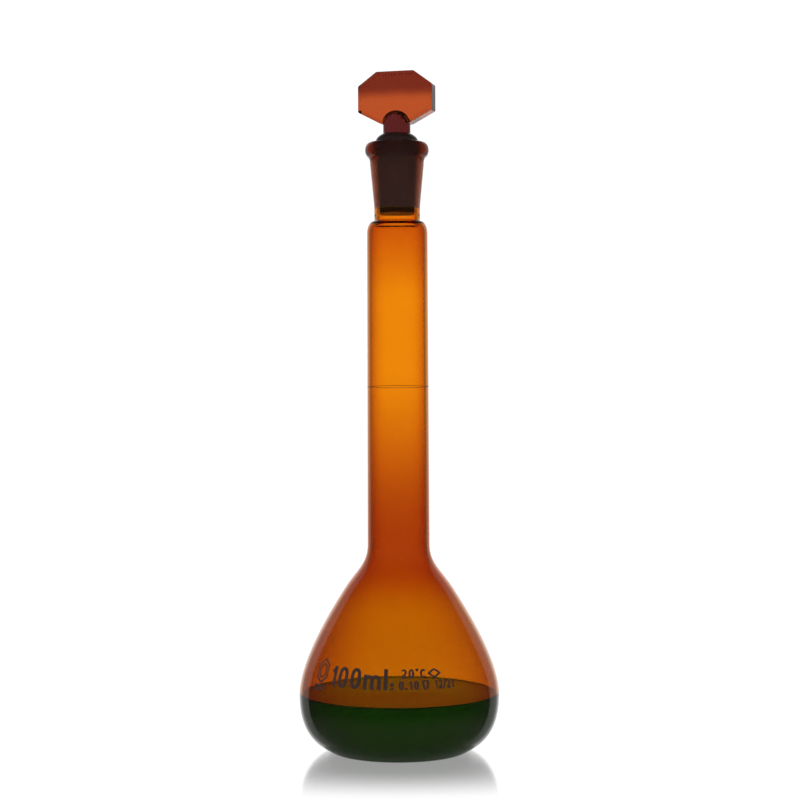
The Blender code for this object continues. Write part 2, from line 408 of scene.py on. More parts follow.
def ground_grain_group():
    """The matt grain of ground glass: fine pits with faint lapping lines round the cone."""
    group = bpy.data.node_groups.get("Ground grain")
    if group:
        return group
    group = shader_group(
        "Ground grain",
        [("Position", "NodeSocketVector", None), ("Lines", "NodeSocketFloat", 0.4)],
        [("Height", "NodeSocketFloat"), ("Tone", "NodeSocketFloat")],
    )
    t = Tree(group)
    given = t.add("NodeGroupInput")
    result = t.add("NodeGroupOutput")
    flat = t.add("ShaderNodeMapping", Vector=given.outputs[0], Scale=(0.1, 0.1, 1))
    pits = t.noise(given.outputs[0], 9000, 3, 0.7)
    lines = t.noise(flat.outputs[0], 3500, 2, 0.6)
    height = t.maths("ADD", pits, t.maths("MULTIPLY", lines, given.outputs[1]))
    t.put(result, 0, height)
    t.put(result, 1, t.noise(given.outputs[0], 500, 3, 0.55))
    return group


def new_material(name):
    """A material with its tree and its shader."""
    made = bpy.data.materials.new(name)
    made.use_nodes = True
    tree = Tree(made.node_tree)
    shader = made.node_tree.nodes["Principled BSDF"]
    return made, tree, shader


def set_glass(shader, roughness, ior=1.47):
    shader.inputs["Roughness"].default_value = roughness
    shader.inputs["IOR"].default_value = ior
    shader.inputs["Metallic"].default_value = 0.0
    shader.inputs["Transmission Weight"].default_value = 1.0


def set_absorption(tree, shade, density):
    """Light is also lost along its way inside the glass."""
    volume = tree.add("ShaderNodeVolumeAbsorption", Color=colour(*shade), Density=density)
    out = tree.tree.nodes["Material Output"]
    tree.tree.links.new(volume.outputs[0], out.inputs["Volume"])


def blown_glass(glass):
    """Amber glass whose tint follows the height, matt in the ground bore.

    It is golden in the bulb, red at the foot of the neck, paler up the neck and dark at the joint.
    Painted shade darkens the neck under its shoulder, a band around the liquid's surface, the
    bulb's left side and the glass towards its outline.
    """
    made, t, shader = new_material("amber_blown_glass")
    set_glass(shader, 0.0)
    place = t.place()
    across, deep, height = t.add("ShaderNodeSeparateXYZ", i0=place).outputs
    marks = t.group(draw_marks_group(), Position=place, Waves=1.0)
    grain = t.group(ground_grain_group(), Position=place, Lines=0.5)
    wander = t.maths("MULTIPLY_ADD", t.maths("SUBTRACT", marks["Tone"], 0.5), 0.004, height)
    foot = t.mixed(t.mapped(wander, 0.0395, 0.0530), glass.bulb_tint, glass.foot_tint)
    neck = t.mixed(t.mapped(wander, 0.0600, 0.1130), foot, glass.neck_tint)
    # Painted shade: the neck grows darker and redder towards its shoulder, less so above it.
    upper = t.mapped(height, 0.1335, 0.1525, kind="LINEAR")
    upper = t.maths("MULTIPLY", upper, t.mapped(height, 0.1535, 0.1550, 1.0, 0.35))
    neck = t.mixed(upper, neck, colour(0.85, 0.63, 0.9), "MULTIPLY")
    # Painted shade: a darker band on the glass around the liquid's surface.
    over, under = t.mapped(height, 0.0176, 0.0168), t.mapped(height, 0.0158, 0.0166)
    liquid_line_shade = t.maths("MULTIPLY", over, under)
    neck = t.mixed(liquid_line_shade, neck, colour(0.80, 0.76, 0.9), "MULTIPLY")
    # Painted shade: the bulb's left side is darker and warmer.
    left = t.mapped(across, -0.006, -0.026, 0.0, 0.30)
    left_side_shaded = t.mixed(left, neck, colour(0.62, 0.24, 0.03), "MULTIPLY")
    # Painted shade: the glass darkens and reddens towards its outline as seen, standing in for the
    # longer way light takes through it there.
    facing = t.add("ShaderNodeLayerWeight", Blend=0.5).outputs["Facing"]
    edge_shaded = t.mixed(t.mapped(facing, 0.05, 0.75), left_side_shaded, colour(0.82, 0.58, 0.9), "MULTIPLY")
    tone = t.mapped(marks["Tone"], 0.3, 0.7, 0.0, 0.10, "LINEAR")
    blown = t.mixed(tone, edge_shaded, colour(0.40, 0.18, 0.02))
    squares = (t.maths("MULTIPLY", offset, offset) for offset in (across, deep))
    radius = t.maths("SQRT", t.maths("ADD", *squares))
    bead, outside = t.mapped(height, RIM - 0.0056, RIM - 0.0040), t.mapped(radius, 0.0074, 0.0084)
    joint = t.mixed(t.maths("MULTIPLY", bead, outside), glass.socket_tint, glass.rim_tint)
    ground = t.mapped(height, *GROUND_START)
    t.put(shader, "Base Color", t.mixed(ground, blown, joint))
    wide = t.maths("MULTIPLY_ADD", t.maths("SUBTRACT", height, RIM), BORE[2], BORE[0] + 0.00012)
    bore = t.maths("MULTIPLY", t.maths("LESS_THAN", radius, wide), ground)
    matt = t.mapped(grain["Tone"], 0.2, 0.8, 0.28, 0.42)
    t.put(shader, "Roughness", t.maths("MULTIPLY", matt, bore))
    bump = t.add("ShaderNodeBump", Strength=0.25, Distance=0.00004, Height=marks["Height"])
    t.put(shader, "Normal", bump.outputs[0])
    set_absorption(t, glass.glass_colour, glass.glass_density)
    return made


# -------------------------------------------------------------------------------- properties


def length(name, description, default):
    """A setting in metres."""
    return FloatProperty(name=name, description=description, default=default, unit="LENGTH")


def tint(name, description, *default):
    """A colour setting."""
    return FloatVectorProperty(
        name=name,
        description=description,
        subtype="COLOR",
        size=4,
        default=colour(*default),
        min=0,
        max=1,
    )


class FlaskGlassSettings(bpy.types.PropertyGroup):
    """Blown glass of the bulb, neck and socket."""

    bulb_wall: length("Bulb wall", "Thickness of the bulb's wall", 0.0009)
    neck_wall: length("Neck wall", "Thickness of the neck's wall", 0.0013)
    segments: IntProperty(
        name="Segments", description="Steps round the axis", default=256, min=32, max=360
    )
    neck_tint: tint("Neck tint", "Tint of the upper neck", 0.948, 0.612, 0.060)
    foot_tint: tint("Foot tint", "Tint where the neck meets the bulb", 0.636, 0.256, 0.060)
    bulb_tint: tint("Bulb tint", "Tint of the bulb", 0.718, 0.406, 0.024)
    socket_tint: tint("Socket tint", "Tint of the socket", 0.52, 0.33, 0.37)
    rim_tint: tint("Rim tint", "Tint of the bead at the rim", 0.26, 0.13, 0.21)
    glass_colour: FloatVectorProperty(
        name="Glass colour",
        description="Colour left after light has crossed the glass",
        subtype="COLOR",
        size=3,
        default=(0.98, 0.67, 0.35),
        min=0,
        max=1,
    )
    glass_density: FloatProperty(
        name="Glass density",
        description="How fast light is lost inside the glass, per metre",
        default=450.0,
        min=0.0,
    )


class LiquidSettings(bpy.types.PropertyGroup):
    """Test liquid in the bulb."""

    level: length("Level", "Height of the liquid's surface", 0.0167)
    meniscus: length("Meniscus", "How far the liquid climbs the wall", 0.0002)
    reach: length("Meniscus reach", "How far in from the wall it starts to climb", 0.0010)
    proud: length("Wetting", "How deep the liquid's side lies in the glass", 0.00003)
    shade: tint("Shade", "Colour of the liquid", 0.008, 0.2, 0.6)


class MarkSettings(bpy.types.PropertyGroup):
    """Fired-on enamel: the ring line and the figures on the bulb."""

    ring_height: length("Ring height", "Height of the ring line", 0.1060)
    ring_width: length("Ring width", "Width of the ring line", 0.00012)
    ring_lean: length("Ring lean", "How far the line drops at the front", 0.00034)
    thickness: length("Enamel thickness", "How thick the enamel is", 0.00003)
    figure_height: length("Figure height", "Height of the capacity figure", 0.0059)
    figure_stroke: length("Figure stroke", "Line width of the capacity figure", 0.0010)
    small_height: length("Small height", "Height of the small figures", 0.0026)
    small_stroke: length("Small stroke", "Line width of the small figures", 0.00052)
    shade: tint("Shade", "Colour of the enamel", 0.06, 0.03, 0.024)


class StopperSettings(bpy.types.PropertyGroup):
    """Ground plug and flat eight-sided grip."""

    plug_tint: tint("Plug tint", "Tint of the ground plug", 0.09, 0.045, 0.030)
    # Painted light: a faint glow given off by the ground plug, standing in for the light its ground
    # surface scatters.
    painted_ground_glow: tint(
        "Ground scatter", "Faint light that the ground surface spreads", 0.022, 0.037, 0.036
    )
    stem_tint: tint("Stem tint", "Tint of the stem and its dome", 0.15, 0.022, 0.021)
    grip_thickness: length("Grip thickness", "Thickness of the grip", 0.0064)
    grip_chamfer: length("Grip chamfer", "Width of the bevel on its faces", 0.0010)
    grip_top: tint("Grip top tint", "Tint of the grip's upper part", 0.18, 0.022, 0.010)
    grip_low: tint("Grip lower tint", "Tint of the grip's lower part", 0.45, 0.075, 0.018)


class StudioSettings(bpy.types.PropertyGroup):
    """Floor, light and camera."""

    distance: length("Camera distance", "From the flask's axis", 0.541)
    eye_height: length("Camera height", "Above the floor", 0.1056)
    lens: FloatProperty(name="Lens", description="Focal length", default=83.25, unit="CAMERA")
    floor_size: length("Floor size", "Width of the floor", 6.0)
    backdrop: FloatProperty(
        name="Backdrop angle",
        description="Half width of the bright backdrop seen from the flask",
        default=math.radians(52),
        subtype="ANGLE",
    )


# --------------------------------------------------------------------------------- operators


class FLASK_OT_blown_glass(bpy.types.Operator):
    """Make the blown glass: bulb, neck, socket and bead in one sealed wall"""

    bl_idname = "flask.blown_glass"
    bl_label = "Blown Glass"

    def execute(self, context):
        glass = context.scene.flask_glass
        outer = chain(softened(lower_outline(), 0.00003), softened(socket_outline(), 0.00006))
        start = RIM - BORE[1]
        rim = chain(
            (BEAD[0], RIM),
            (BORE[0] + 0.00025, RIM),
            (BORE[0], RIM - 0.0003),
            (bore_radius(-BORE[1]), start),
            (WAIST[0] - glass.neck_wall, start - 0.0006),
        )
        inner = inner_outline(glass)
        inner = inner[inner[:, 1] < start - 0.0007][::-1]
        rim = softened(rim, 0.00008)
        inner = softened(inner, 0.00025)
        outline = chain(thinned(outer, 150), thinned(rim, 34), thinned(inner, 130))
        outline[0, 0] = outline[-1, 0] = 0.0
        points, faces = turned_surface(outline, glass.segments)
        sealed = ("bulb", "neck_tube", "socket_joint")
        piece = add_piece("flask_glass", points, faces, "flask", sealed)
        piece.data.materials.append(blown_glass(glass))
        return {"FINISHED"}


class FLASK_OT_test_liquid(bpy.types.Operator):
    """Make the test liquid, with a meniscus where it wets the wall"""

    bl_idname = "flask.test_liquid"
    bl_label = "Test Liquid"

    def execute(self, context):
        liquid = context.scene.flask_liquid
        wall = inner_outline(context.scene.flask_glass, liquid.proud)
        top = liquid.level + liquid.meniscus
        wall = wall[wall[:, 1] < top]
        wall = wall[: np.argmax(wall[:, 1]) + 1]
        contact = np.array([wall[-1, 0], top])
        start = np.array([contact[0] - liquid.reach, liquid.level])
        corner = np.array([contact[0], liquid.level])
        meniscus = bezier(
            contact, contact * 0.4 + corner * 0.6, start * 0.4 + corner * 0.6, start, 20
        )
        surface = np.stack([np.linspace(start[0], 0.0, 12), np.full(12, liquid.level)], axis=1)
        outline = chain(thinned(chain(wall), 70), meniscus, surface)
        outline[0, 0] = outline[-1, 0] = 0.0
        points, faces = turned_surface(outline, context.scene.flask_glass.segments)
        piece = add_piece(
            "measured_liquid", points, faces, "flask", ("test_liquid",)
        )
        made, t, shader = new_material("dyed_liquid")
        set_glass(shader, 0.0, 1.33)
        place = t.place()
        cloud = t.noise(place, 70, 3, 0.5)
        height = t.add("ShaderNodeSeparateXYZ", i0=place).outputs[2]
        deep = colour(*(c * 0.7 for c in liquid.shade[:3]))
        # The liquid is darker towards the bottom.
        darker_below = t.mapped(height, 0.014, 0.003)
        share = t.maths("MULTIPLY_ADD", cloud, 0.3, t.maths("MULTIPLY", darker_below, 0.7), clamp=True)
        t.put(shader, "Base Color", t.mixed(share, colour(*liquid.shade[:3]), deep))
        piece.data.materials.append(made)
        return {"FINISHED"}


def enamel(shade):
    """Fired-on enamel: brown, a little glossy, with pinholes and thin spots."""
    made = bpy.data.materials.get("fired_enamel")
    if made:
        return made
    made, t, shader = new_material("fired_enamel")
    place = t.place()
    specks = t.noise(place, 2600, 4, 0.65)
    cloud = t.noise(place, 420, 3, 0.5)
    thin = t.mapped(specks, 0.58, 0.72, 0.0, 0.8)
    base = t.mixed(cloud, colour(*shade[:3]), colour(*(c * 1.7 for c in shade[:3])))
    t.put(shader, "Base Color", t.mixed(thin, base, colour(0.22, 0.10, 0.05)))
    t.put(shader, "Roughness", t.mapped(cloud, 0.2, 0.8, 0.38, 0.6))
    bump = t.add("ShaderNodeBump", Strength=0.4, Distance=0.00001, Height=specks)
    t.put(shader, "Normal", bump.outputs[0])
    return made


class FLASK_OT_ring_line(bpy.types.Operator):
    """Make the ring line round the neck that marks the volume"""

    bl_idname = "flask.ring_line"
    bl_label = "Ring Line"

    def execute(self, context):
        marks = context.scene.flask_marks
        a = np.arange(256) * 2 * np.pi / 256
        half, thick = marks.ring_width / 2, marks.thickness
        foot, crown = -0.00001, thick * 0.8
        section = np.array(
            [(-half, foot), (-half * 0.8, crown), (0, thick), (half * 0.8, crown), (half, foot)]
        )
        height = marks.ring_height + marks.ring_lean * np.sin(a)[:, None] + section[None, :, 0]
        share = (height - THROAT[1]) / (NECK_END[1] - THROAT[1])
        radius = THROAT[0] + share * (NECK_END[0] - THROAT[0]) + section[None, :, 1]
        grid = np.stack([radius * np.cos(a)[:, None], radius * np.sin(a)[:, None], height], axis=-1)
        points, faces = looped_surface(grid[::-1], True)
        piece = add_piece("ring_line", points, faces, "flask", ("graduation_ring",))
        piece.data.materials.append(enamel(marks.shade))
        return {"FINISHED"}


# Strokes of the figures, each a run of points in a box one high. Widths are part of each glyph.


def oval(centre, radii, start=0.0, end=360.0, steps=28, power=2.4):
    """Part of a super-ellipse: centre plus radii times signed powers of cos and sin."""
    a = np.radians(np.linspace(start, end, steps + 1))
    c, s = np.cos(a), np.sin(a)
    return np.stack(
        [
            centre[0] + radii[0] * np.sign(c) * np.abs(c) ** (2 / power),
            centre[1] + radii[1] * np.sign(s) * np.abs(s) ** (2 / power),
        ],
        axis=1,
    )


def line(*corners):
    """Straight lines through the corners, with points close enough to wrap."""
    corners = np.asarray(corners, float)
    runs = [np.linspace(a, b, 9) for a, b in zip(corners[:-1], corners[1:])]
    return chain(*runs)


def glyph(mark, half):
    """(width, strokes) of a mark, each stroke (points, closed). half is half the line width."""
    h = half
    top = 1 - h
    if mark == "0":
        return 0.52, [(oval((0.26, 0.5), (0.26 - h, 0.5 - h), power=2.7)[:-1], True)]
    if mark == "1":
        return 0.34, [
            (line((0.34 - h, 0), (0.34 - h, 1)), False),
            (line((0.34 - h, top), (0.10, 0.80 - h)), False),
        ]
    if mark == "2":
        bowl = oval((0.26, 0.72), (0.26 - h, 0.28 - h), 165, -25, 20, 2.2)
        return 0.52, [
            (chain(bowl, bezier(bowl[-1], (0.44, 0.42), (0.16, 0.32), (h, h), 12)), False),
            (line((0, h), (0.52, h)), False),
        ]
    if mark == "m":
        left, middle, right = h, 0.40, 0.80 - h
        arch = 0.13
        strokes = [(line((left, 0), (left, 0.70)), False)]
        for a, b in ((left, middle), (middle, right)):
            bow = oval(((a + b) / 2, 0.70 - h - arch), ((b - a) / 2, arch), 180, 0, 14, 2.4)
            strokes.append((softened(chain(bow, (b, 0.0)), 0.0, 0.05), False))
        return 0.80, strokes
    if mark == "l":
        return 2 * h, [(line((h, 0), (h, 1)), False)]
    if mark == "C":
        return 0.54, [(oval((0.30, 0.5), (0.30 - h, 0.5 - h), 38, 322, 26, 2.3), False)]
    if mark == "o":
        small = 0.12 - h * 0.6
        return 0.24, [(oval((0.12, 0.92), (small, small), steps=18, power=2)[:-1], True)]
    if mark == "+":
        return 0.46, [
            (line((0, 0.58), (0.46, 0.58)), False),
            (line((0.23, 0.34), (0.23, 0.82)), False),
            (line((0, 0.10), (0.46, 0.10)), False),
        ]
    if mark == ".":
        return 2 * h, [(line((h, 0), (h, 2 * h)), False)]
    if mark == "/":
        return 0.34, [(line((0.0, 0.0), (0.34, 1.0)), False)]
    if mark == "v":  # a small diamond
        corners = ((0.35, 0.05), (0.68, 0.5), (0.35, 0.95), (0.02, 0.5))
        return 0.70, [(line(*corners, corners[0])[:-1], True)]
    if mark == "u":  # a small taper, for the ground joint
        corners = ((0.14, 0.05), (0.36, 0.05), (0.48, 0.95), (0.02, 0.95))
        return 0.50, [(line(*corners, corners[0])[:-1], True)]
    raise ValueError(f"no strokes for {mark!r}")


def ribbon(points, closed, half, low, high):
    """A flat band along a run of points, half a width to each side and from low to high."""
    if closed:
        way = np.roll(points, -1, axis=0) - np.roll(points, 1, axis=0)
    else:
        way = np.gradient(points, axis=0)
    way /= np.linalg.norm(way, axis=1)[:, None]
    side = np.stack([-way[:, 1], way[:, 0]], axis=1)
    across = np.array([-1.0, -0.85, 0.85, 1.0]) * half
    lift = np.array([low, high, high, low])
    grid = np.empty((len(points), 4, 3))
    grid[..., :2] = points[:, None, :] + side[:, None, :] * across[None, :, None]
    grid[..., 2] = lift
    return grid


def wrapped(grid, turn, height):
    """Flat (x, y, lift) laid on the bulb.

    x goes round from the angle turn, y up the outline from a height, and lift outwards.
    """
    outline = softened(lower_outline(), 0.0)
    outline = outline[outline[:, 1] > WIDEST[1] * 0.5]
    out = -left_normals(outline)
    along = lengths(outline)
    start = np.interp(height, outline[:, 1], along)
    reach = np.clip(start + grid[..., 1], 0, along[-1])
    radius, rise, out_r, out_z = (np.interp(reach, along, c) for c in (*outline.T, *out.T))
    around = np.interp(start + 0.003, along, outline[:, 0])
    a = turn + grid[..., 0] / around
    r = radius + out_r * grid[..., 2]
    return np.stack([r * np.sin(a), -r * np.cos(a), rise + out_z * grid[..., 2]], axis=-1)


def figures(marks, size, stroke, gap, enamel_thickness):
    """A row of marks of this height, lying flat, as (grid, closed) pairs, and the row's width."""
    made, x = [], 0.0
    half = stroke / size / 2
    for mark in marks:
        if mark == " ":
            x += 0.30
            continue
        width, strokes = glyph(mark, half)
        for points, closed in strokes:
            flat = (points + (x, 0.0)) * size
            band = ribbon(flat, closed, stroke / 2, ENAMEL_FOOT, enamel_thickness)
            made.append((band, closed))
        x += width + gap
    return made, (x - gap) * size


def printed(name, rows, thickness, shade):
    """One piece of enamel print from rows of marks.

    A row is (marks, size, stroke, gap, left angle, right angle, height), with angles in degrees.
    """
    parts = []
    for marks, size, stroke, gap, left, right, height in rows:
        made, width = figures(marks, size, stroke, gap, thickness)
        around = WIDEST[0] * 0.965
        stretch = math.radians(right - left) * around / width
        for grid, closed in made:
            grid = grid.copy()
            grid[..., 0] *= stretch
            placed = wrapped(grid, math.radians(left), height)
            parts.append(looped_surface(placed, closed))
    points, faces = joined(parts)
    piece = add_piece(name, points, faces, "flask")
    piece.data.materials.append(enamel(shade))


class FLASK_OT_bulb_print(bpy.types.Operator):
    """Make the capacity figure, the small figures and a plain maker's sign on the bulb"""

    bl_idname = "flask.bulb_print"
    bl_label = "Bulb Print"

    def execute(self, context):
        marks = context.scene.flask_marks
        thick, shade = marks.thickness, marks.shade
        big, stroke = marks.figure_height, marks.figure_stroke
        small, fine = marks.small_height, marks.small_stroke
        capacity = ("100ml", big, stroke, 0.13, -44.3, -7.5, 0.0218)
        printed("capacity_figure", [capacity], thick, shade)
        printed(
            "small_figures",
            [
                ("20oC", small, fine, 0.16, 1.2, 15.0, 0.0249),
                ("v", small, fine * 0.8, 0.16, 17.5, 24.5, 0.0249),
                ("+ 0.10", small * 0.93, fine, 0.16, -5.4, 11.0, 0.0219),
                ("u", small * 0.93, fine * 0.8, 0.16, 13.5, 17.0, 0.0219),
                ("12/21", small * 0.93, fine, 0.14, 21.0, 32.5, 0.0219),
            ],
            thick,
            shade,
        )
        corner = np.radians(np.arange(7) * 60 + 30)
        hexagon = np.stack([np.cos(corner), np.sin(corner)], axis=1)
        parts = []
        for scale, width in ((1.0, 0.00052), (0.62, 0.00046)):
            flat = line(*(hexagon * (0.0025, 0.0034) * scale + (0.0026, 0.0053)))[:-1]
            parts.append((ribbon(flat, True, width / 2, ENAMEL_FOOT, thick), True))
        for foot, width in ((0.0010, 0.0048), (0.0, 0.0040)):
            bar = line((0.0002, foot), (width, foot))
            parts.append((ribbon(bar, False, 0.0003, ENAMEL_FOOT, thick), False))
        turn = math.radians(-57.5)
        made = [looped_surface(wrapped(grid, turn, 0.0206), closed) for grid, closed in parts]
        points, faces = joined(made)
        piece = add_piece("plain_panel", points, faces, "flask")
        piece.data.materials.append(enamel(shade))
        return {"FINISHED"}


def plug_outline(swell=0.0):
    """The plug from the middle of its end up to the dome's top, a little larger with swell."""
    stem = STEM + swell
    dome_foot = DOME[0] - DOME[1]
    cone = [(bore_radius(h) - PLUG_GAP, h) for h in (PLUG_BOTTOM, PLUG_SHOULDER)]
    collar = bezier(
        cone[1],
        (cone[1][0], cone[1][1] + 0.0009),
        (stem + 0.0009, COLLAR_TOP - 0.0003),
        (stem, COLLAR_TOP),
    )
    dome = arc((0, dome_foot), (stem, DOME[1] + swell), 0, 90, 30)
    end = ((0, PLUG_BOTTOM), (cone[0][0] - 0.0001, PLUG_BOTTOM), (cone[0][0], PLUG_BOTTOM + 0.0001))
    outline = chain(*end, collar, dome)
    return softened(outline, 0.00012) + (0.0, RIM)


def stopper_glass(stopper):
    """The plug's glass: matt where it is ground, clear and red in the stem, with painted shade at
    its collar and lower end and a painted glow where it is ground.
    """
    made, t, shader = new_material("stopper_glass")
    set_glass(shader, 0.3)
    shader.inputs["Transmission Weight"].default_value = 0.7
    place = t.place()
    height = t.add("ShaderNodeSeparateXYZ", i0=place).outputs[2]
    grain = t.group(ground_grain_group(), Position=place, Lines=0.5)
    stem = t.mapped(height, RIM + 0.0022, RIM + 0.0028)
    paler = colour(*(c * 1.6 for c in stopper.plug_tint[:3]))
    dark = t.mixed(grain["Tone"], stopper.plug_tint, paler)
    # Painted shade: the plug goes nearly black at its collar and below the ground joint.
    collar = t.mapped(height, RIM - 0.0004, RIM + 0.0004, 0.0, 0.8)
    end = t.mapped(height, *GROUND_START[::-1], 0.0, 0.95)
    dark = t.mixed(t.maths("MAXIMUM", collar, end), dark, colour(0.012, 0.010, 0.012))
    t.put(shader, "Base Color", t.mixed(stem, dark, stopper.stem_tint))
    # Painted light: the ground part of the plug glows faintly; the collar and lower end do not.
    unground = t.maths("MAXIMUM", t.mapped(height, RIM - 0.0008, RIM + 0.0002), end)
    t.put(shader, "Emission Color", t.mixed(unground, stopper.painted_ground_glow, colour(0, 0, 0)))
    shader.inputs["Emission Strength"].default_value = 1.0
    matt = t.mapped(grain["Tone"], 0.2, 0.8, 0.28, 0.42)
    below = t.maths("SUBTRACT", 1.0, stem)
    t.put(shader, "Roughness", t.maths("MULTIPLY", matt, below))
    grained = t.maths("MULTIPLY", grain["Height"], below)
    bump = t.add("ShaderNodeBump", Strength=0.35, Distance=0.00002, Height=grained)
    t.put(shader, "Normal", bump.outputs[0])
    return made


class FLASK_OT_stopper_plug(bpy.types.Operator):
    """Make the ground plug with its collar, stem and dome"""

    bl_idname = "flask.stopper_plug"
    bl_label = "Stopper Plug"

    def execute(self, context):
        outline = thinned(plug_outline(), 150)
        outline[0, 0] = outline[-1, 0] = 0.0
        points, faces = turned_surface(outline, 192)
        piece = add_piece(
            "ground_plug", points, faces, "stopper_plug", ("stopper_plug",)
        )
        piece.data.materials.append(stopper_glass(context.scene.flask_stopper))
        return {"FINISHED"}


def grip_ring(inset, corner_round=0.0004, side_steps=6):
    """The octagon moved inwards by each inset, its corners rounded by short quadratic curves."""
    right = np.array(GRIP_CORNERS)
    corners = np.vstack([right, right[::-1] * (-1, 1)])
    ahead = np.roll(corners, -1, axis=0) - corners
    ahead /= np.linalg.norm(ahead, axis=1)[:, None]
    inwards = np.stack([-ahead[:, 1], ahead[:, 0]], axis=1)
    before = np.roll(inwards, 1, axis=0)
    mitre = (inwards + before) / (1 + np.sum(inwards * before, axis=1))[:, None]
    at = corners[None] + mitre[None] * np.asarray(inset)[:, None, None]
    back = -np.roll(ahead, 1, axis=0)
    t = np.linspace(0, 1, 7)[None, None, :, None]
    a, b, c = (x[:, :, None, :] for x in (at + back * corner_round, at, at + ahead * corner_round))
    curve = (1 - t) ** 2 * a + 2 * t * (1 - t) * b + t**2 * c
    following = np.roll(a, -1, axis=1)
    s = np.linspace(0, 1, side_steps + 1)[None, None, 1:-1, None]
    side = c + (following - c) * s
    rings = np.concatenate([curve, side], axis=2)
    return rings.reshape(len(inset), -1, 2)


def grip_surface(thickness, chamfer):
    """The grip's plate: octagon rings whose inset and depth follow a bevelled section.

    A flat face closes it in front and behind.
    """
    half = thickness / 2
    bevel = ((chamfer + 0.0012, -half), (chamfer, -half), (0.0, -half + chamfer))
    section = chain(*bevel, *((inset, -depth) for inset, depth in bevel[::-1]))
    section = thinned(softened(section, 0.00007), 40)
    rings = grip_ring(section[:, 0])
    steps, around, _ = rings.shape
    depth = np.broadcast_to(section[:, 1:], (steps, around))
    grid = np.stack([rings[..., 0], depth, rings[..., 1]], axis=-1)
    number = np.arange(steps * around).reshape(steps, around)
    beside = np.roll(number, -1, axis=1)
    quads = np.stack([number[:-1], number[1:], beside[1:], beside[:-1]], axis=-1).reshape(-1, 4)
    faces = quads.tolist() + [number[0].tolist(), number[-1, ::-1].tolist()]
    points = grid.reshape(-1, 3)
    turn = np.array(Euler((0, 0, GRIP_TURN)).to_matrix())
    return points @ turn.T + (0, 0, RIM), faces


def grip_glass(stopper):
    """The grip's glass: dark red towards the top and orange below, with slow swirls."""
    made, t, shader = new_material("grip_glass")
    set_glass(shader, 0.02)
    place = t.place()
    height = t.add("ShaderNodeSeparateXYZ", i0=place).outputs[2]
    swirl = t.noise(place, 160, 2, 0.4)
    marks = t.group(draw_marks_group(), Position=place, Waves=0.6)
    wander = t.maths("MULTIPLY_ADD", swirl, 0.0016, height)
    upper = t.mapped(wander, RIM + 0.0130, RIM + 0.0168)
    t.put(shader, "Base Color", t.mixed(upper, stopper.grip_low, stopper.grip_top))
    t.put(shader, "Roughness", t.mapped(marks["Tone"], 0.3, 0.7, 0.0, 0.05))
    bump = t.add("ShaderNodeBump", Strength=0.2, Distance=0.00002, Height=marks["Height"])
    t.put(shader, "Normal", bump.outputs[0])
    return made


class FLASK_OT_stopper_grip(bpy.types.Operator):
    """Make the flat eight-sided grip, with the pocket that its stem sits in"""

    bl_idname = "flask.stopper_grip"
    bl_label = "Stopper Grip"

    def execute(self, context):
        stopper = context.scene.flask_stopper
        points, faces = grip_surface(stopper.grip_thickness, stopper.grip_chamfer)
        piece = add_piece(
            "finger_grip", points, faces, "stopper_head", ("stopper_head",)
        )
        outline = thinned(plug_outline(0.00012), 60)
        outline[0, 0] = outline[-1, 0] = 0.0
        cutter_points, cutter_faces = turned_surface(outline, 96)
        mesh = bpy.data.meshes.new("pocket")
        mesh.from_pydata(cutter_points, [], cutter_faces)
        cutter = bpy.data.objects.new("pocket", mesh)
        context.scene.collection.objects.link(cutter)
        cut = piece.modifiers.new("pocket", "BOOLEAN")
        cut.operation, cut.solver, cut.object = "DIFFERENCE", "EXACT", cutter
        context.view_layer.update()
        depsgraph = context.evaluated_depsgraph_get()
        finished = bpy.data.meshes.new_from_object(piece.evaluated_get(depsgraph))
        piece.modifiers.clear()
        piece.data = finished
        bpy.data.objects.remove(cutter)
        finished.shade_smooth()
        finished.set_sharp_from_angle(angle=GRIP_SHARP)
        finished.materials.clear()
        finished.materials.append(grip_glass(stopper))
        return {"FINISHED"}


def studio_world(studio):
    """Plain studio light by direction: a bright backdrop, soft light above, a dim room in front.

    What the flask shows through its glass and on its surface comes from how wide each of them is.
    """
    world = bpy.data.worlds.new("studio")
    world.use_nodes = True
    world.cycles.sampling_method = "NONE"
    t = Tree(world.node_tree)
    out = world.node_tree.nodes["World Output"]
    background = world.node_tree.nodes["Background"]
    direction = t.add("ShaderNodeTexCoord").outputs["Generated"]
    way = t.add("ShaderNodeSeparateXYZ", i0=direction).outputs
    bearing = t.maths("ARCTAN2", way[0], way[1])
    azimuth = t.maths("ABSOLUTE", bearing)
    wide = studio.backdrop
    behind = t.mapped(azimuth, wide - 0.01, wide + 0.02, 1.0, 0.0)
    beyond = t.mapped(azimuth, wide + 0.38, wide + 0.48, 0.0, 1.0)
    right = t.mapped(bearing, -0.5, 0.6, 0.98, 1.02)
    low = t.mapped(way[2], -0.3, 0.0, 0.55, 1.0)
    high = t.mapped(way[2], 0.35, 0.9, 1.0, 0.25)
    seen_through = t.maths("MULTIPLY_ADD", t.maths("MAXIMUM", behind, beyond), 0.79, 0.38)
    seen_through = t.maths("MULTIPLY", t.maths("MULTIPLY", seen_through, right), high)
    edge = t.mapped(azimuth, 0.26, 0.62, 0.90, 0.30)
    mirrored = t.maths("MULTIPLY", t.maths("MULTIPLY_ADD", behind, edge, 0.05), high)
    soft = t.maths("MULTIPLY", t.mapped(way[1], -0.8, 0.6, 0.5, 1.2), low)
    path = t.add("ShaderNodeLightPath").outputs
    straight = t.maths("LESS_THAN", path["Glossy Depth"], 0.5)
    straight = t.maths("MULTIPLY", straight, path["Is Transmission Ray"])
    strength = t.chosen(path["Is Diffuse Ray"], mirrored, soft)
    strength = t.chosen(straight, strength, seen_through)
    strength = t.chosen(path["Is Camera Ray"], strength, 1.05)
    t.put(background, "Strength", strength)
    background.inputs["Color"].default_value = colour(1, 1, 1)
    world.node_tree.links.new(background.outputs[0], out.inputs[0])
    return world


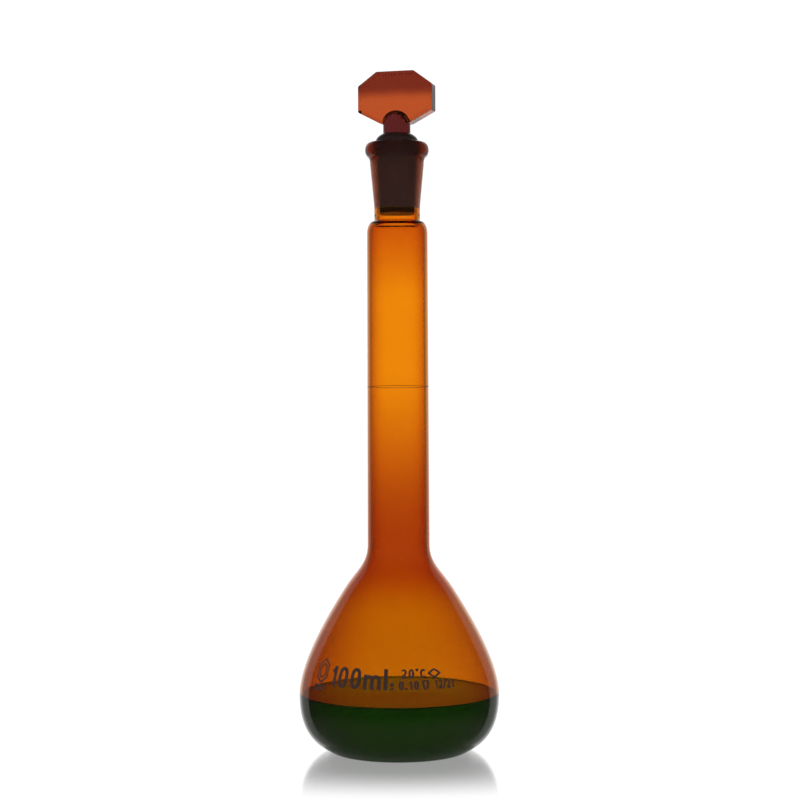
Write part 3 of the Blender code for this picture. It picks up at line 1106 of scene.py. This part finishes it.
def floor_material():
    """White glossy sheet, very slightly uneven."""
    made, t, shader = new_material("white_sheet")
    place = t.place()
    cloud = t.noise(place, 30, 3, 0.5)
    t.put(shader, "Base Color", t.mixed(cloud, colour(0.66, 0.665, 0.67), colour(0.68, 0.68, 0.68)))
    t.put(shader, "Roughness", t.mapped(cloud, 0.2, 0.8, 0.08, 0.11))
    shader.inputs["Metallic"].default_value = 0.9
    mirrored = t.maths("GREATER_THAN", t.add("ShaderNodeLightPath").outputs["Glossy Depth"], 0.5)
    t.put(shader, "Emission Color", t.mixed(mirrored, colour(1, 1, 1), colour(0.35, 0.35, 0.35)))
    shader.inputs["Emission Strength"].default_value = 0.30
    patch = t.add("ShaderNodeMapping", Vector=place, Location=(0, 0.020, 0), Scale=(0.6, 1, 1))
    away = t.add("ShaderNodeVectorMath", {"operation": "LENGTH"}, i0=patch.outputs[0])
    t.put(shader, "Alpha", t.mapped(away.outputs["Value"], 0.010, 0.052, 1.0, 0.0))
    return made


class FLASK_OT_studio(bpy.types.Operator):
    """Make the pale floor, the soft light and the camera"""

    bl_idname = "flask.studio"
    bl_label = "Studio"

    def execute(self, context):
        scene, studio = context.scene, context.scene.flask_studio
        half = studio.floor_size / 2
        corners = [(-half, -half), (half, -half), (half, half), (-half, half)]
        mesh = bpy.data.meshes.new("floor")
        mesh.from_pydata([(x, y, FLOOR_HEIGHT) for x, y in corners], [], [(0, 1, 2, 3)])
        floor = bpy.data.objects.new("floor", mesh)
        scene.collection.objects.link(floor)
        mesh.materials.append(floor_material())
        scene.world = studio_world(studio)
        data = bpy.data.cameras.new("camera")
        data.lens = studio.lens
        data.sensor_width = 36
        data.shift_y = -0.015
        camera = bpy.data.objects.new("camera", data)
        camera.location = (0.0006, -studio.distance, studio.eye_height)
        camera.rotation_euler = Euler((math.radians(90), math.radians(0.26), 0), "XYZ")
        scene.collection.objects.link(camera)
        scene.camera = camera
        scene.view_settings.view_transform = "Standard"
        scene.cycles.max_bounces = 32
        scene.cycles.transmission_bounces = 32
        scene.cycles.glossy_bounces = 12
        return {"FINISHED"}


class FLASK_PT_sidebar(bpy.types.Panel):
    """Lists the steps of the flask"""

    bl_idname = "FLASK_PT_sidebar"
    bl_label = "Volumetric Flask"
    bl_space_type = "VIEW_3D"
    bl_region_type = "UI"
    bl_category = "Flask"

    def draw(self, context):
        scene, column = context.scene, self.layout.column()
        for settings, steps in STEPS:
            for step in steps:
                column.operator(step.bl_idname)
            group = getattr(scene, settings)
            for name in group.__annotations__:
                column.prop(group, name)


STEPS = (
    ("flask_glass", (FLASK_OT_blown_glass,)),
    ("flask_liquid", (FLASK_OT_test_liquid,)),
    ("flask_marks", (FLASK_OT_ring_line, FLASK_OT_bulb_print)),
    ("flask_stopper", (FLASK_OT_stopper_plug, FLASK_OT_stopper_grip)),
    ("flask_studio", (FLASK_OT_studio,)),
)
SETTINGS = {
    "flask_glass": FlaskGlassSettings,
    "flask_liquid": LiquidSettings,
    "flask_marks": MarkSettings,
    "flask_stopper": StopperSettings,
    "flask_studio": StudioSettings,
}
CLASSES = (*SETTINGS.values(), *(step for _, steps in STEPS for step in steps), FLASK_PT_sidebar)


def register():
    for made in CLASSES:
        bpy.utils.register_class(made)
    for name, settings in SETTINGS.items():
        setattr(bpy.types.Scene, name, PointerProperty(type=settings))


def unregister():
    for name in SETTINGS:
        delattr(bpy.types.Scene, name)
    for made in reversed(CLASSES):
        bpy.utils.unregister_class(made)


def main():
    """Builds every piece in order."""
    register()
    bpy.ops.flask.blown_glass()
    bpy.ops.flask.test_liquid()
    bpy.ops.flask.ring_line()
    bpy.ops.flask.bulb_print()
    bpy.ops.flask.stopper_plug()
    bpy.ops.flask.stopper_grip()
    bpy.ops.flask.studio()


if __name__ == "__main__":
    main()
